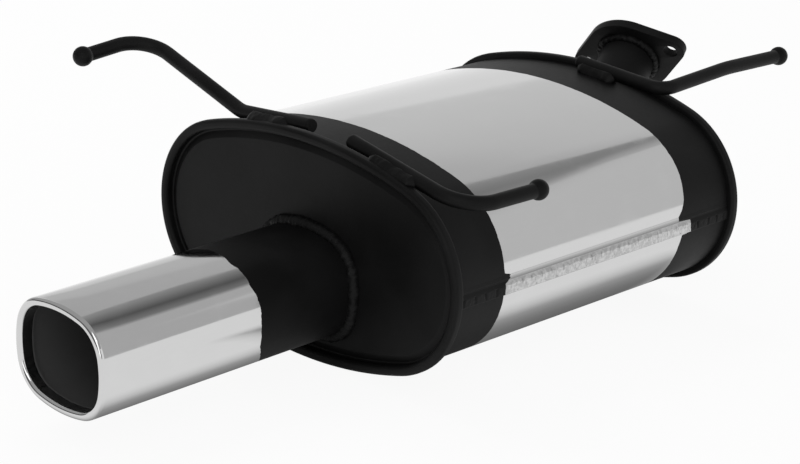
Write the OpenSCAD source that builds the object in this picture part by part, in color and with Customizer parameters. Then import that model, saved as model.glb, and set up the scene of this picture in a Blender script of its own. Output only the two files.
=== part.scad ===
// Axle-back exhaust: an oval silencer with a rounded-square tailpipe and a two-bolt inlet flange.
// Millimetres. The tailpipe points to -Y, the inlet to +Y, and +Z is up.
// The origin is the middle of the inlet flange's mating face.

/* [Silencer body] */
// Length of the body over its two rims
body_len = 350; // [260:5:520]
// Width of the shell, without the rims
shell_w = 333.4; // [300:1:380]
// Height of the shell, without the rims
shell_h = 176.6; // [170:1:186]
// Radius of the shell's tight sides
side_r = 74.4; // [70:0.1:78]
// Thickness of the shell sheet
shell_t = 1.2; // [1:0.1:1.6]
// Thickness of the end caps' sheet
cap_t = 1.5; // [1:0.1:2]
// How far a rim stands out of the shell
rim_h = 5.7; // [5:0.1:8]
// Width of a rim, along the body
rim_w = 9; // [8:0.5:11]
// Width of the groove between a rim and the raised middle of a cap
groove_w = 6; // [5:0.5:9]
// Depth of that groove, from the rim's face
groove_d = 11; // [11:0.5:13.5]
// How far the raised middle lies behind the rim's face
face_in = 1.5; // [0:0.5:2]
// Radius of the raised middle's edge
face_r = 6; // [4:0.5:6]

/* [Lock seam] */
// Width of the folded seam along the shell's side
seam_w = 15; // [12:0.5:18]
// How far the fold stands out of the shell
seam_h = 2.2; // [1.5:0.1:3]
// Angle of the fold's middle below the side's middle, in degrees
seam_drop = 2; // [-4:0.5:5]

/* [Tailpipe] */
// Outside width of the rounded-square tailpipe
tip_w = 104.6; // [96:0.2:110]
// Outside height of the tailpipe
tip_h = 87; // [82:0.2:92]
// Radius of the tailpipe's corners
tip_corner = 33; // [28:0.5:35]
// How far its upright sides bow out
tip_bow_side = 0.8; // [0.6:0.1:1.6]
// How far its top and bottom bow out
tip_bow_top = 2; // [0.8:0.1:2.4]
// Wall of the tailpipe
tip_t = 2; // [1.5:0.1:3]
// Reach of the tailpipe past the front rim
tip_reach = 244.5; // [150:0.5:320]
// Width of the rolled-in lip at the mouth
lip_roll = 7; // [6.5:0.5:9]
// Length of the lip that runs back inside the mouth
lip_back = 9; // [6:0.5:14]
// Place of the tailpipe across the body
tip_x = 6; // [-20:1:20]
// Place of the tailpipe above the body's middle
tip_z = -27; // [-30:0.5:-15]
// Droop of the tailpipe, in degrees
tip_droop = 0.85; // [0:0.05:2]
// Turn of the tailpipe about its own length, in degrees
tip_roll = 0.7; // [0:0.1:2]
// Leg of the weld round the tailpipe
tip_weld = 6; // [4:0.5:8]

/* [Inlet] */
// Outside diameter of the inlet pipe
pipe_d = 50; // [42:0.5:54]
// Wall of the inlet pipe
pipe_t = 1.5; // [1.2:0.1:2]
// Place of the inlet pipe across the body, where it leaves the cap
inlet_x = -4.1; // [-30:0.1:30]
// Place of the inlet pipe above the body's middle
inlet_z = 42.3; // [38:0.1:43]
// Straight length between the cap and the bend
inlet_start = 11.3; // [10:0.1:30]
// Radius of the bend, at the pipe's middle
inlet_bend_r = 60; // [55:1:90]
// Angle of the bend, in degrees
inlet_lean = 38.4; // [20:0.2:45]
// Heading of the bend, in degrees up from +X
inlet_heading = 116.6; // [90:0.2:125]
// Straight length from the bend to the flange's mating face
inlet_end = 53; // [30:0.5:70]
// Leg of the weld where the inlet pipe leaves the cap
inlet_weld_leg = 5; // [3:0.5:6]

/* [Flange] */
// Thickness of the flange plate
flange_t = 8.5; // [6:0.5:12]
// Radius of the flange's round middle
flange_r = 40; // [36:0.5:44]
// Distance between the two bolt holes
bolt_pitch = 90; // [84:1:100]
// Radius of the flange's two ears
ear_r = 13; // [11:0.5:15]
// Diameter of the bolt holes
bolt_hole_d = 12.5; // [10.5:0.5:14]
// Turn of the hole line in the flange's plane, in degrees
flange_turn = 12.2; // [0:0.2:30]
// Leg of the weld round the pipe at the flange
flange_weld_leg = 6; // [4:0.5:7]

/* [Hangers] */
// Diameter of the hanger rods
rod_d = 12; // [10:0.5:13]
// Diameter of the upset heads that keep the rubber mounts on
head_d = 16.8; // [15:0.2:20]
// Length of an upset head behind its widest place
head_back = 5.5; // [4:0.5:7]
// Clear distance from a rod to its rim
rod_gap = 0; // [0:0.1:1]
// How far a rod's weld reaches past the rod
rod_weld = 4; // [3:0.5:5]
// Reach of the front left hanger ahead of the front rim
front_left_reach = 51.5; // [48:0.5:70]
// How far the front left hanger stands out past the shell's side
front_left_out = 42.3; // [38:0.1:60]
// Reach of the front right hanger back along the body
front_right_reach = 96; // [80:1:120]
// Reach of the rear hanger behind the rear rim
rear_reach = 152.8; // [135:0.2:170]

/* [Inside] */
// Outside diameter of the perforated outlet tube
outlet_d = 63; // [55:0.5:66]
// Wall of the perforated tubes
core_t = 1.2; // [1:0.1:1.6]
// Diameter of the perforations
hole_d = 7; // [5:0.5:8]
// Spacing of the rings of perforations
hole_pitch = 20; // [16:1:30]
// Perforations round a tube
holes_round = 8; // [6:2:12]
// Distance from the front rim's face to the front baffle
front_baffle_y = 72; // [50:1:90]
// Distance from the rear rim's face to the rear baffle
rear_baffle_y = 78; // [50:1:90]
// Thickness of the baffles' sheet
baffle_t = 1.2; // [1:0.1:1.6]
// Depth of a baffle's turned edge and of its collars
baffle_edge = 10; // [6:1:14]
// Thickness of the steel wool round the perforated tubes
wool_t = 5; // [3:0.5:7]
// Play of a wrap on its tube, across
wool_gap = 0.6; // [0.3:0.1:1]
// Clear space between the packing and what holds it
pack_gap = 0.5; // [0.3:0.1:2]
// Depth of the adapter plate behind the front cap's face
adapter_in = 10; // [9:0.5:11]
// Length of the adapter's collar
adapter_collar = 16; // [14:0.5:20]
// How far the outlet tube stands out of the adapter, towards the mouth
outlet_lead = 5; // [3:0.5:6]
// How far each perforated tube reaches past its far baffle
tube_past = 24; // [16:1:30]
// Plain length at the fixed end of each perforated tube
plain_end = 32; // [28:1:40]
// Depth of the inlet pipe's root behind the rear cap's face
pipe_root = 14; // [12:1:20]

/* [Hidden] */
$fn = 96;

black = [0.11, 0.11, 0.12];
polished = [0.80, 0.81, 0.82];
bare_steel = [0.55, 0.55, 0.56];
eps = 0.01;

// Points of an arc, from one angle to another
function arc(c, r, a0, a1, n) = [for (i = [0 : n]) let (a = a0 + (a1 - a0) * i / n)
                                 c + r * [cos(a), sin(a)]];
function joined(lists) = [for (l = lists, p = l) p];

// An outline moved inwards by e
function area2(p) = let (n = len(p)) [for (i = [0 : n - 1]) let (q = p[(i + 1) % n])
                                      p[i][0] * q[1] - q[0] * p[i][1]] * [for (i = p) 1];
function left_of(a) = [-a[1], a[0]];
function inset(p, e) = let (n = len(p), s = area2(p) > 0 ? e : -e)
    [for (i = [0 : n - 1]) let (a = left_of(unit(p[i] - p[(i + n - 1) % n])),
                                b = left_of(unit(p[(i + 1) % n] - p[i])))
     p[i] + s * (a + b) / (1 + a * b)];

// Vectors
function unit(v) = v / norm(v);
function turn(a, b, c) = acos(unit(b - a) * unit(c - b));
function setback(a, b, c, r) = r * tan(turn(a, b, c) / 2);

// The oval of four tangent arcs: tight sides, flat top and belly.
// An arc is [centre across, centre up, radius, start angle, end angle].
side_c = shell_w / 2 - side_r;
top_r = (side_c * side_c + shell_h * shell_h / 4 - side_r * side_r) / (shell_h - 2 * side_r);
top_c = top_r - shell_h / 2;
arc_split = atan2(top_c, side_c);
OVAL = [[side_c, 0, side_r, -arc_split, arc_split],
        [0, -top_c, top_r, arc_split, 180 - arc_split],
        [-side_c, 0, side_r, 180 - arc_split, 180 + arc_split],
        [0, top_c, top_r, 180 + arc_split, 360 - arc_split]];

// The tailpipe's rounded square of eight tangent arcs: four bowed sides and four corners.
corner_x = tip_w / 2 - tip_corner - tip_bow_side;
corner_z = tip_h / 2 - tip_corner - tip_bow_top;
function bow_r(bow, far) = (pow(tip_corner + bow, 2) + far * far - tip_corner * tip_corner) / (2 * bow);
bow_side_r = bow_r(tip_bow_side, corner_z);
bow_top_r = bow_r(tip_bow_top, corner_x);
side_split = atan2(corner_z, corner_x - tip_w / 2 + bow_side_r);
top_split = atan2(corner_z - tip_h / 2 + bow_top_r, corner_x);
TIP = [[tip_w / 2 - bow_side_r, 0, bow_side_r, -side_split, side_split],
       [corner_x, corner_z, tip_corner, side_split, top_split],
       [0, tip_h / 2 - bow_top_r, bow_top_r, top_split, 180 - top_split],
       [-corner_x, corner_z, tip_corner, 180 - top_split, 180 - side_split],
       [bow_side_r - tip_w / 2, 0, bow_side_r, 180 - side_split, 180 + side_split],
       [-corner_x, -corner_z, tip_corner, 180 + side_split, 180 + top_split],
       [0, bow_top_r - tip_h / 2, bow_top_r, 180 + top_split, 360 - top_split],
       [corner_x, -corner_z, tip_corner, 360 - top_split, 360 - side_split]];

// Sweeps an outline along a closed chain of arcs; its X is the distance outside the chain. Every
// tight arc is a hair thinner and a little longer, so that it ends inside its two neighbours.
module sweep_arcs(arcs, outline) {
    for (i = [0 : len(arcs) - 1]) {
        a = arcs[i];
        tight = a[2] < min(arcs[(i + 1) % len(arcs)][2], arcs[(i + len(arcs) - 1) % len(arcs)][2]);
        lap = tight ? 0.1 / a[2] * 180 / PI : 0;
        translate([a[0], a[1], 0])
            rotate([0, 0, a[3] - lap])
                rotate_extrude(angle = a[4] - a[3] + 2 * lap)
                    translate([a[2], 0])
                        polygon(tight ? inset(outline, eps) : outline);
    }
}

// The flat region inside the body's oval, grown by g
module oval_2d(g = 0) {
    polygon(joined([for (a = OVAL) arc([a[0], a[1]], a[2] + g, a[3], a[4], 36)]));
}

// The flat region inside the tailpipe's outline, grown by g
module tip_2d(g = 0) {
    polygon(joined([for (a = TIP) arc([a[0], a[1]], a[2] + g, a[3], a[4], 12)]));
}

// Turns what is drawn flat so that its Z runs to -Y, from a place along the body
module facing_front(y) {
    translate([0, y, 0]) rotate([90, 0, 0]) children();
}

// The rear end is the front end, mirrored
module at_rear() {
    translate([0, body_len, 0]) mirror([0, 1, 0]) children();
}

// A rod or tube core along bent points, with a round bend of its own radius at each
module path_solid(p, bends, r) {
    n = len(p);
    for (i = [0 : n - 2]) {
        a = i == 0 ? 0 : setback(p[i - 1], p[i], p[i + 1], bends[i - 1]);
        b = i == n - 2 ? 0 : setback(p[i], p[i + 1], p[i + 2], bends[i]);
        d = unit(p[i + 1] - p[i]);
        aim(p[i] + a * d, d) cylinder(r = r, h = norm(p[i + 1] - p[i]) - a - b);
    }
    if (n > 2)
        for (i = [1 : n - 2])
            elbow(p[i - 1], p[i], p[i + 1], bends[i - 1], r - 3 * eps);
}

// Stands what is drawn upright along a direction, from a point
module aim(at, d) {
    side = abs(d[2]) > 0.9 ? [1, 0, 0] : [0, 0, 1];
    x = unit(cross(side, d));
    y = cross(d, x);
    multmatrix([[x[0], y[0], d[0], at[0]], [x[1], y[1], d[1], at[1]], [x[2], y[2], d[2], at[2]]])
        children();
}

// One round bend at point b
module elbow(a, b, c, bend_r, r) {
    d1 = unit(b - a);
    w = unit(cross(d1, unit(c - b)));
    inward = cross(w, d1);
    at = b - setback(a, b, c, bend_r) * d1 + bend_r * inward;
    lap = 0.1 / bend_r * 180 / PI;
    multmatrix([[-inward[0], d1[0], w[0], at[0]], [-inward[1], d1[1], w[1], at[1]],
                [-inward[2], d1[2], w[2], at[2]]])
        rotate(-lap)
            rotate_extrude(angle = turn(a, b, c) + 2 * lap)
                translate([bend_r, 0])
                    circle(r);
}

// Inlet path: out of the cap, round the bend and up to the flange's mating face
heading = [cos(inlet_heading), 0, sin(inlet_heading)];
inlet_dir = [0, cos(inlet_lean), 0] + sin(inlet_lean) * heading;
bend_back = inlet_bend_r * tan(inlet_lean / 2);
rear_face = body_len - face_in;
inlet_root = [inlet_x, rear_face - pipe_root, inlet_z];
inlet_turn_at = [inlet_x, rear_face + inlet_start + bend_back, inlet_z];
flange_at = inlet_turn_at + (bend_back + inlet_end) * inlet_dir;
INLET = [inlet_root, inlet_turn_at, flange_at];
inlet_side = unit(cross([0, 1, 0], heading));
inlet_up = cross(inlet_dir, inlet_side);

// Stands what is drawn flat on the inlet's mating face, with +Z the way the next pipe leaves
module on_flange() {
    multmatrix([[inlet_side[0], inlet_up[0], inlet_dir[0], flange_at[0]],
                [inlet_side[1], inlet_up[1], inlet_dir[1], flange_at[1]],
                [inlet_side[2], inlet_up[2], inlet_dir[2], flange_at[2]]])
        rotate(flange_turn)
            children();
}

// Everything is drawn from the front rim's middle, then seated on the origin
module placed() {
    translate(-flange_at) children();
}

// The tailpipe's own frame: flat outlines lie across it, and +Z runs to its mouth
module on_tailpipe() {
    translate([tip_x, face_in, tip_z])
        rotate([90 + tip_droop, 0, 0])
            rotate(-tip_roll)
                children();
}

// Hanger rods: each lies along a rim and touches the oval where its lean meets it. A rod is given
// by points; the free ones are measured from the shell's side and top and from the rims.
rod_r = rod_d / 2;
rod_y = rim_w + rod_gap + rod_r;
side = shell_w / 2;
top = shell_h / 2;
function touch(lean) = abs(lean) < 90 - arc_split
    ? [(top_r + rod_r) * sin(lean), 0, (top_r + rod_r) * cos(lean) - top_c]
    : [sign(lean) * side_c + (side_r + rod_r) * sin(lean), 0, (side_r + rod_r) * cos(lean)];
function along(lean, s) = touch(lean) + s * [cos(lean), 0, -sin(lean)];
function at_front(v) = v + [0, rod_y, 0];
function at_back(v) = v + [0, body_len - rod_y, 0];
left_lean = -5;
right_lean = 10.9;
rear_lean = 3.4;
rear_corner = at_back(along(rear_lean, 70));
FRONT_LEFT = [at_front(along(left_lean, 31)), at_front(along(left_lean, -52.5)),
              [-side - front_left_out, rod_y, top + 37.5],
              [-side - front_left_out, -front_left_reach, top + 31.2]];
FRONT_RIGHT = [at_front(along(right_lean, -35)), at_front(along(right_lean, 91.6)),
               [side - 2.2, front_right_reach, top - 19.6]];
REAR = [at_back(along(rear_lean, -24)), rear_corner,
        [rear_corner[0], body_len + rear_reach - 78.1, top + 5.9],
        [rear_corner[0], body_len + rear_reach, top + 3.9]];
front_left_bends = [30, 30];
front_right_bends = [32];
rear_bends = [15, 250];

// Each perforated tube crosses both baffles and ends in the far chamber
outlet_end = body_len - rear_baffle_y + tube_past;
inlet_core_end = front_baffle_y - tube_past;
middle_from = front_baffle_y + baffle_t;
middle_to = body_len - rear_baffle_y - baffle_t;

// Profile of a cap's sheet, outside the shell's outer face along X and forward of the rim's face along Z
rim_round = 2.8;
lip_round = 2;
spigot = -shell_t - cap_t;
wall_x = spigot - groove_w;
flat_in = wall_x - face_r;
half_groove = groove_w / 2;
CAP = joined([
    [[flat_in - 3, -face_in]],
    arc([flat_in, -face_in - face_r], face_r, 90, 0, 6),
    arc([wall_x + half_groove, half_groove - groove_d], half_groove, 180, 360, 10),
    arc([spigot + lip_round, -lip_round], lip_round, 180, 90, 4),
    arc([rim_h - rim_round, -rim_round], rim_round, 90, 0, 5),
    arc([rim_h - rim_round, rim_round - rim_w], rim_round, 0, -90, 5),
    [[0, -rim_w], [0, cap_t - rim_w]],
    arc([rim_h - rim_round, rim_round - rim_w], rim_round - cap_t, -90, 0, 4),
    arc([rim_h - rim_round, -rim_round], rim_round - cap_t, 0, 90, 4),
    arc([spigot + lip_round, -lip_round], lip_round - cap_t, 90, 180, 3),
    arc([wall_x + half_groove, half_groove - groove_d], half_groove + cap_t, 360, 180, 10),
    arc([flat_in, -face_in - face_r], face_r - cap_t, 0, 90, 5),
    [[flat_in - 3, -face_in - cap_t]]]);

// A pressed end cap, drawn for the front
module cap_sheet() {
    facing_front(0) {
        sweep_arcs(OVAL, CAP);
        translate([0, 0, -face_in - cap_t + 2 * eps])
            linear_extrude(cap_t - 4 * eps)
                oval_2d(flat_in - 1.5);
    }
}

module front_end_cap() {
    color(black) placed()
        difference() {
            cap_sheet();
            on_tailpipe()
                translate([0, 0, -30])
                    linear_extrude(60)
                        tip_2d(0.3);
        }
}

module rear_end_cap() {
    color(black) placed()
        difference() {
            at_rear() cap_sheet();
            translate([inlet_x, rear_face - 20, inlet_z])
                rotate([-90, 0, 0])
                    cylinder(d = pipe_d, h = 40);
        }
}

// The shell: one wrapped sheet, its long edges folded into a lock seam, its ends hooked into the rims
hook = rim_h - cap_t;
hook_end = cap_t + 1.5 - rim_w;
far = -body_len;
SHELL = [[-shell_t, -cap_t - 0.7], [-shell_t + 0.7, -cap_t], [hook - 0.8, -cap_t],
         [hook, -cap_t - 0.8], [hook, hook_end], [hook - shell_t, hook_end],
         [hook - shell_t, -cap_t - shell_t], [0, -cap_t - shell_t],
         [0, far + cap_t + shell_t], [hook - shell_t, far + cap_t + shell_t],
         [hook - shell_t, far - hook_end], [hook, far - hook_end],
         [hook, far + cap_t + 0.8], [hook - 0.8, far + cap_t],
         [-shell_t + 0.7, far + cap_t], [-shell_t, far + cap_t + 0.7]];

module seam_profile() {
    half = seam_w / (2 * side_r) * 180 / PI;
    edge = 1.1 / side_r * 180 / PI;
    polygon(joined([
        arc([0, 0], side_r - shell_t / 2, half, -half, 6),
        arc([0, 0], side_r + seam_h * 0.45, -half, -half, 1),
        arc([0, 0], side_r + seam_h, -half + edge, half - edge, 8),
        arc([0, 0], side_r + seam_h * 0.45, half, half, 1)]));
}

module outer_shell() {
    color(polished) placed()
        facing_front(0) {
            sweep_arcs(OVAL, SHELL);
            translate([side_c, 0, -body_len + rim_w])
                linear_extrude(body_len - 2 * rim_w)
                    rotate(-seam_drop)
                        seam_profile();
        }
}

// Tailpipe with its mouth rolled inwards
tip_front = tip_reach + face_in;
lip_edge = tip_t + 0.2;
TIP_WALL = joined([
    [[0, -adapter_in - tip_t]],
    arc([-lip_edge, tip_front - lip_edge], lip_edge, 0, 90, 6),
    arc([lip_edge - lip_roll, tip_front - lip_edge], lip_edge, 90, 180, 6),
    [[-lip_roll, tip_front - lip_edge - lip_back], [tip_t - lip_roll, tip_front - lip_edge - lip_back]],
    arc([lip_edge - lip_roll, tip_front - lip_edge], lip_edge - tip_t, 180, 90, 3),
    arc([-lip_edge, tip_front - lip_edge], lip_edge - tip_t, 90, 0, 3),
    [[-tip_t, -adapter_in - tip_t]]]);

module tailpipe() {
    color(polished) placed()
        on_tailpipe()
            sweep_arcs(TIP, TIP_WALL);
}

// A fillet of weld metal against a wall on the left and a face below
bead_edge = atan2(0.35, 1.35);
function bead(leg) = joined([
    [[0, -1.2], [leg, -1.2]],
    arc([-leg * 0.35, -leg * 0.35], leg * norm([1.35, 0.35]), bead_edge, 90 - bead_edge, 6)]);

module tailpipe_weld() {
    color(black) placed()
        difference() {
            on_tailpipe()
                sweep_arcs(TIP, bead(tip_weld));
            translate([-body_len, face_in, -body_len])
                cube(2 * body_len);
        }
}

// A plate across the tailpipe's root, with a collar for the round outlet tube
module outlet_adapter() {
    color(bare_steel) placed()
        on_tailpipe()
            difference() {
                union() {
                    translate([0, 0, -adapter_in])
                        linear_extrude(tip_t)
                            tip_2d(-tip_t);
                    translate([0, 0, -adapter_in])
                        cylinder(d = outlet_d + 2 * tip_t, h = adapter_collar);
                }
                translate([0, 0, -adapter_in - 1])
                    cylinder(d = outlet_d, h = adapter_collar + 2);
            }
}

// A straight tube with rings of perforations, drawn along +Z
module perforated_tube(d, h, from, to) {
    rings = floor((to - from) / hole_pitch);
    difference() {
        cylinder(d = d, h = h);
        translate([0, 0, -1]) cylinder(d = d - 2 * core_t, h = h + 2);
        for (i = [0 : rings], j = [0 : holes_round - 1])
            translate([0, 0, from + i * hole_pitch])
                rotate([0, 90, (j + (i % 2) / 2) * 360 / holes_round])
                    translate([0, 0, d / 2 - core_t - 2])
                        cylinder(d = hole_d, h = core_t + 4);
    }
}

module outlet_core_tube() {
    start = -outlet_lead;
    color(bare_steel) placed()
        on_tailpipe()
            rotate([180, 0, 0])
                translate([0, 0, start])
                    perforated_tube(outlet_d, outlet_end - face_in - start, plain_end,
                                    outlet_end - face_in - start - plain_end / 2);
}

module inlet_pipe() {
    color(black) placed()
        difference() {
            path_solid(INLET, [inlet_bend_r], pipe_d / 2);
            path_solid([inlet_root - [0, 1, 0], inlet_turn_at, flange_at + inlet_dir],
                       [inlet_bend_r], pipe_d / 2 - pipe_t);
        }
}

module inlet_weld() {
    color(black) placed()
        translate([inlet_x, rear_face, inlet_z])
            rotate([-90, 0, 0])
                difference() {
                    rotate_extrude()
                        translate([pipe_d / 2, 0])
                            polygon(bead(inlet_weld_leg));
                    translate([0, 0, -pipe_d]) cylinder(d = 4 * pipe_d, h = pipe_d);
                }
}

module inlet_flange() {
    ear = bolt_pitch / 2;
    lean = acos((flange_r - ear_r) / ear);
    color(black) placed()
        on_flange()
            translate([0, 0, -flange_t])
                difference() {
                    linear_extrude(flange_t)
                        polygon(joined([
                            arc([0, 0], flange_r, lean, 180 - lean, 20),
                            arc([-ear, 0], ear_r, 180 - lean, 180 + lean, 16),
                            arc([0, 0], flange_r, 180 + lean, 360 - lean, 20),
                            arc([ear, 0], ear_r, -lean, lean, 16)]));
                    translate([0, 0, -1]) cylinder(d = pipe_d, h = flange_t + 2);
                    for (s = [1, -1])
                        translate([s * ear, 0, -1]) cylinder(d = bolt_hole_d, h = flange_t + 2);
                }
}

module flange_weld() {
    color(black) placed()
        on_flange()
            translate([0, 0, -flange_t])
                mirror([0, 0, 1])
                    difference() {
                        rotate_extrude()
                            translate([pipe_d / 2, 0])
                                polygon(bead(flange_weld_leg));
                        translate([0, 0, -pipe_d]) cylinder(d = 4 * pipe_d, h = pipe_d);
                    }
}

// The perforated inlet tube, sleeved over the inlet pipe's root
module inlet_core_tube() {
    root = rear_face - cap_t - 2;
    core_d = pipe_d + 2 * core_t;
    color(bare_steel) placed()
        translate([inlet_x, root, inlet_z])
            rotate([90, 0, 0])
                perforated_tube(core_d, root - inlet_core_end, plain_end,
                                root - inlet_core_end - plain_end / 2);
}

// A baffle: an oval plate whose edge is turned against the shell, with a collar for each tube
module baffle(turned) {
    inlet_hole = pipe_d + 2 * core_t;
    difference() {
        union() {
            linear_extrude(baffle_t) oval_2d(-shell_t);
            translate([0, 0, turned > 0 ? 0 : baffle_t - baffle_edge])
                linear_extrude(baffle_edge)
                    difference() {
                        oval_2d(-shell_t);
                        oval_2d(-shell_t - baffle_t);
                    }
            translate([inlet_x, inlet_z, turned > 0 ? 0 : baffle_t - baffle_edge])
                cylinder(d = inlet_hole + 2 * baffle_t, h = baffle_edge);
        }
        translate([inlet_x, inlet_z, -body_len]) cylinder(d = inlet_hole, h = 2 * body_len);
    }
}

module outlet_void(grow) {
    on_tailpipe()
        translate([0, 0, -body_len])
            cylinder(d = outlet_d + grow, h = body_len);
}

module front_baffle() {
    color(bare_steel) placed()
        difference() {
            facing_front(front_baffle_y + baffle_t) baffle(1);
            outlet_void(0);
        }
}

module rear_baffle() {
    color(bare_steel) placed()
        difference() {
            facing_front(body_len - rear_baffle_y) baffle(-1);
            outlet_void(0);
        }
}

module wool_wrap(d, h) {
    difference() {
        cylinder(d = d + 2 * wool_t, h = h);
        translate([0, 0, -1]) cylinder(d = d + wool_gap, h = h + 2);
    }
}

// Steel wool round each perforated tube, between the baffles
module steel_wool_wraps() {
    from = middle_from + baffle_edge;
    long = middle_to - middle_from - 2 * baffle_edge;
    color([0.62, 0.62, 0.60]) placed() {
        facing_front(from + long)
            translate([inlet_x, inlet_z, 0])
                wool_wrap(pipe_d + 2 * core_t, long);
        on_tailpipe()
            translate([0, 0, -(from + long - face_in)])
                wool_wrap(outlet_d, long);
    }
}

// The packing fills the middle chamber round the wraps
module sound_packing() {
    from = middle_from + baffle_edge;
    long = middle_to - middle_from - 2 * baffle_edge;
    hole = 2 * wool_t + 2 * pack_gap;
    color([0.86, 0.83, 0.70]) placed()
        difference() {
            facing_front(from + long)
                linear_extrude(long)
                    oval_2d(-shell_t - pack_gap);
            facing_front(from + long + 1)
                translate([inlet_x, inlet_z, 0])
                    cylinder(d = pipe_d + 2 * core_t + hole, h = long + 2);
            outlet_void(hole);
        }
}

// A hanger: a bent rod whose free end is upset into a round head
module hanger(p, bends) {
    last = p[len(p) - 1];
    d = unit(last - p[len(p) - 2]);
    path_solid(p, bends, rod_r);
    aim(last, d)
        difference() {
            sphere(d = head_d);
            translate([0, 0, -head_d - head_back]) cylinder(d = 2 * head_d, h = head_d);
        }
}

module hanger_front_left() {
    color(black) placed() hanger(FRONT_LEFT, front_left_bends);
}

module hanger_front_right() {
    color(black) placed() hanger(FRONT_RIGHT, front_right_bends);
}

module hanger_rear() {
    color(black) placed() hanger(REAR, rear_bends);
}

// A weld in the corner between a rod and the rim or shell it lies on. It starts at an angle up the
// rod, ends at a height over the rod's middle, and bellies a little between the two.
module rod_weld_between(p, s0, s1, toward, from, end) {
    d = unit(p[1] - p[0]);
    foot = rod_r + rod_weld;
    a = rod_r * [cos(from), sin(from)];
    b = [foot, end];
    difference() {
        aim(p[0] + s0 * d, d)
            linear_extrude(s1 - s0)
                scale([toward, 1])
                    difference() {
                        polygon([[1, -rod_r - 2], [foot, -rod_r - 2], b,
                                 (a + 3 * b) / 4 + [0.25, 0.25], (a + b) / 2 + [0.35, 0.35],
                                 (3 * a + b) / 4 + [0.25, 0.25], a, 0.8 * a]);
                        circle(rod_r);
                        translate([-rod_r, -2 * rod_r]) square([2 * rod_r - 0.5, 2 * rod_r]);
                    }
        facing_front(rim_w)
            linear_extrude(rim_w)
                oval_2d(rim_h);
        facing_front(body_len)
            linear_extrude(body_len)
                oval_2d(0);
    }
}

module weld_front_left() {
    color(black) placed() rod_weld_between(FRONT_LEFT, 28, 67, 1, 50, rim_h - rod_r + 0.6);
}

module weld_front_right() {
    color(black) placed() rod_weld_between(FRONT_RIGHT, 32, 72, -1, 50, rim_h - rod_r + 0.6);
}

module weld_rear() {
    color(black) placed() rod_weld_between(REAR, 3, 46, -1, 12, -rod_r);
}

outer_shell();
front_end_cap();
rear_end_cap();
tailpipe();
tailpipe_weld();
outlet_adapter();
outlet_core_tube();
inlet_pipe();
inlet_weld();
inlet_flange();
flange_weld();
inlet_core_tube();
front_baffle();
rear_baffle();
steel_wool_wraps();
sound_packing();
hanger_front_left();
hanger_front_right();
hanger_rear();
weld_front_left();
weld_front_right();
weld_rear();
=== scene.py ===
# %% [markdown]
# # An axle-back exhaust, dressed for a photograph
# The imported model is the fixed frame. Each step below adds a finish or a finer piece to it.
# Lengths are written in millimetres from the middle of the front rim, because that is how an
# exhaust is measured on the bench, and `mm` turns them into the frame's metres.

import math

import bmesh
import bpy
import numpy as np
from mathutils import Matrix, Vector, noise


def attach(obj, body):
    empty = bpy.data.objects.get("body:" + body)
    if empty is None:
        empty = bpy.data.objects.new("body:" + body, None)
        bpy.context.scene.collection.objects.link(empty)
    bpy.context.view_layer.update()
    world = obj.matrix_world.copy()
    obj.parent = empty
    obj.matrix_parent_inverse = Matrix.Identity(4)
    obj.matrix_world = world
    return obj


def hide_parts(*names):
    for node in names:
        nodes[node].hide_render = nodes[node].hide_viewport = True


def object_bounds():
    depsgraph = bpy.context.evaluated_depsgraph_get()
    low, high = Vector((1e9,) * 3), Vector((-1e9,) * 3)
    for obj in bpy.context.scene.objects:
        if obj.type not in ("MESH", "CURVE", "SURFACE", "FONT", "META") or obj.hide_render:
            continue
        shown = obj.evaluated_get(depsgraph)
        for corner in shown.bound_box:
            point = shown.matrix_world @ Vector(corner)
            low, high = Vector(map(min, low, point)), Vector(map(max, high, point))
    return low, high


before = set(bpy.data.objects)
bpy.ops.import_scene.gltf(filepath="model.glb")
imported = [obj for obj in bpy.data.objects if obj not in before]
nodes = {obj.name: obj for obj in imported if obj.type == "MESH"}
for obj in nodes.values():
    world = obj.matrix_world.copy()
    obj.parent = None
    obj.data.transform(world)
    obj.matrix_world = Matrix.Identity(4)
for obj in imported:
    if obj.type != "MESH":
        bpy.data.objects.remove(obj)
cad_box = [list(v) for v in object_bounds()]
FLANGE = np.array([-24.651795, 438.60462, 83.340986])  # the frame's origin, in bench millimetres


def mm(*p):
    """Bench places in millimetres as places in the frame, in metres."""
    return (np.asarray(p, float).reshape(-1, 3).squeeze() - FLANGE) / 1000


print("box in metres", [[round(c, 3) for c in v] for v in cad_box])

# %% [markdown]
# ## Camera
# The photograph's view was fitted from the two rims and the tailpipe's mouth, all of known shape.
# A long lens far away keeps the rims' ovals nearly the same size, as in the photograph.

# %% Camera
PHOTO_WIDTH = 800  # pixels
LENS_PX = 2321.69  # the fitted focal length, in those pixels
eye = mm(1264.72, -1198.31, 623.49)
right = Vector((0.71138, 0.701932, 0.035061))
up = Vector((-0.255708, 0.212038, 0.943214))
back = Vector((0.654639, -0.679949, 0.330329))
lens = bpy.data.cameras.new("camera")
lens.sensor_width = 36
lens.lens = LENS_PX * lens.sensor_width / PHOTO_WIDTH
lens.clip_start, lens.clip_end = 0.05, 50
camera = bpy.data.objects.new("camera", lens)
aim = Matrix((right, up, back)).transposed().to_4x4()
camera.matrix_world = Matrix.Translation(Vector(eye)) @ aim
bpy.context.scene.collection.objects.link(camera)
bpy.context.scene.camera = camera
print("lens", round(lens.lens, 1), "mm")

# %% [markdown]
# ## Node trees as plain Python
# A finish and a rule for a shape are both easiest to read as sums and products. `Wire` wraps a
# socket, and each operator adds the Math node that does it. `Tree` makes every other node with one
# method, so the same few lines serve a material and a Geometry Nodes tree. `table` reads measured
# values from a list of rows, because a hand-made edge seldom follows a formula.

# %% Wire and Tree


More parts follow.
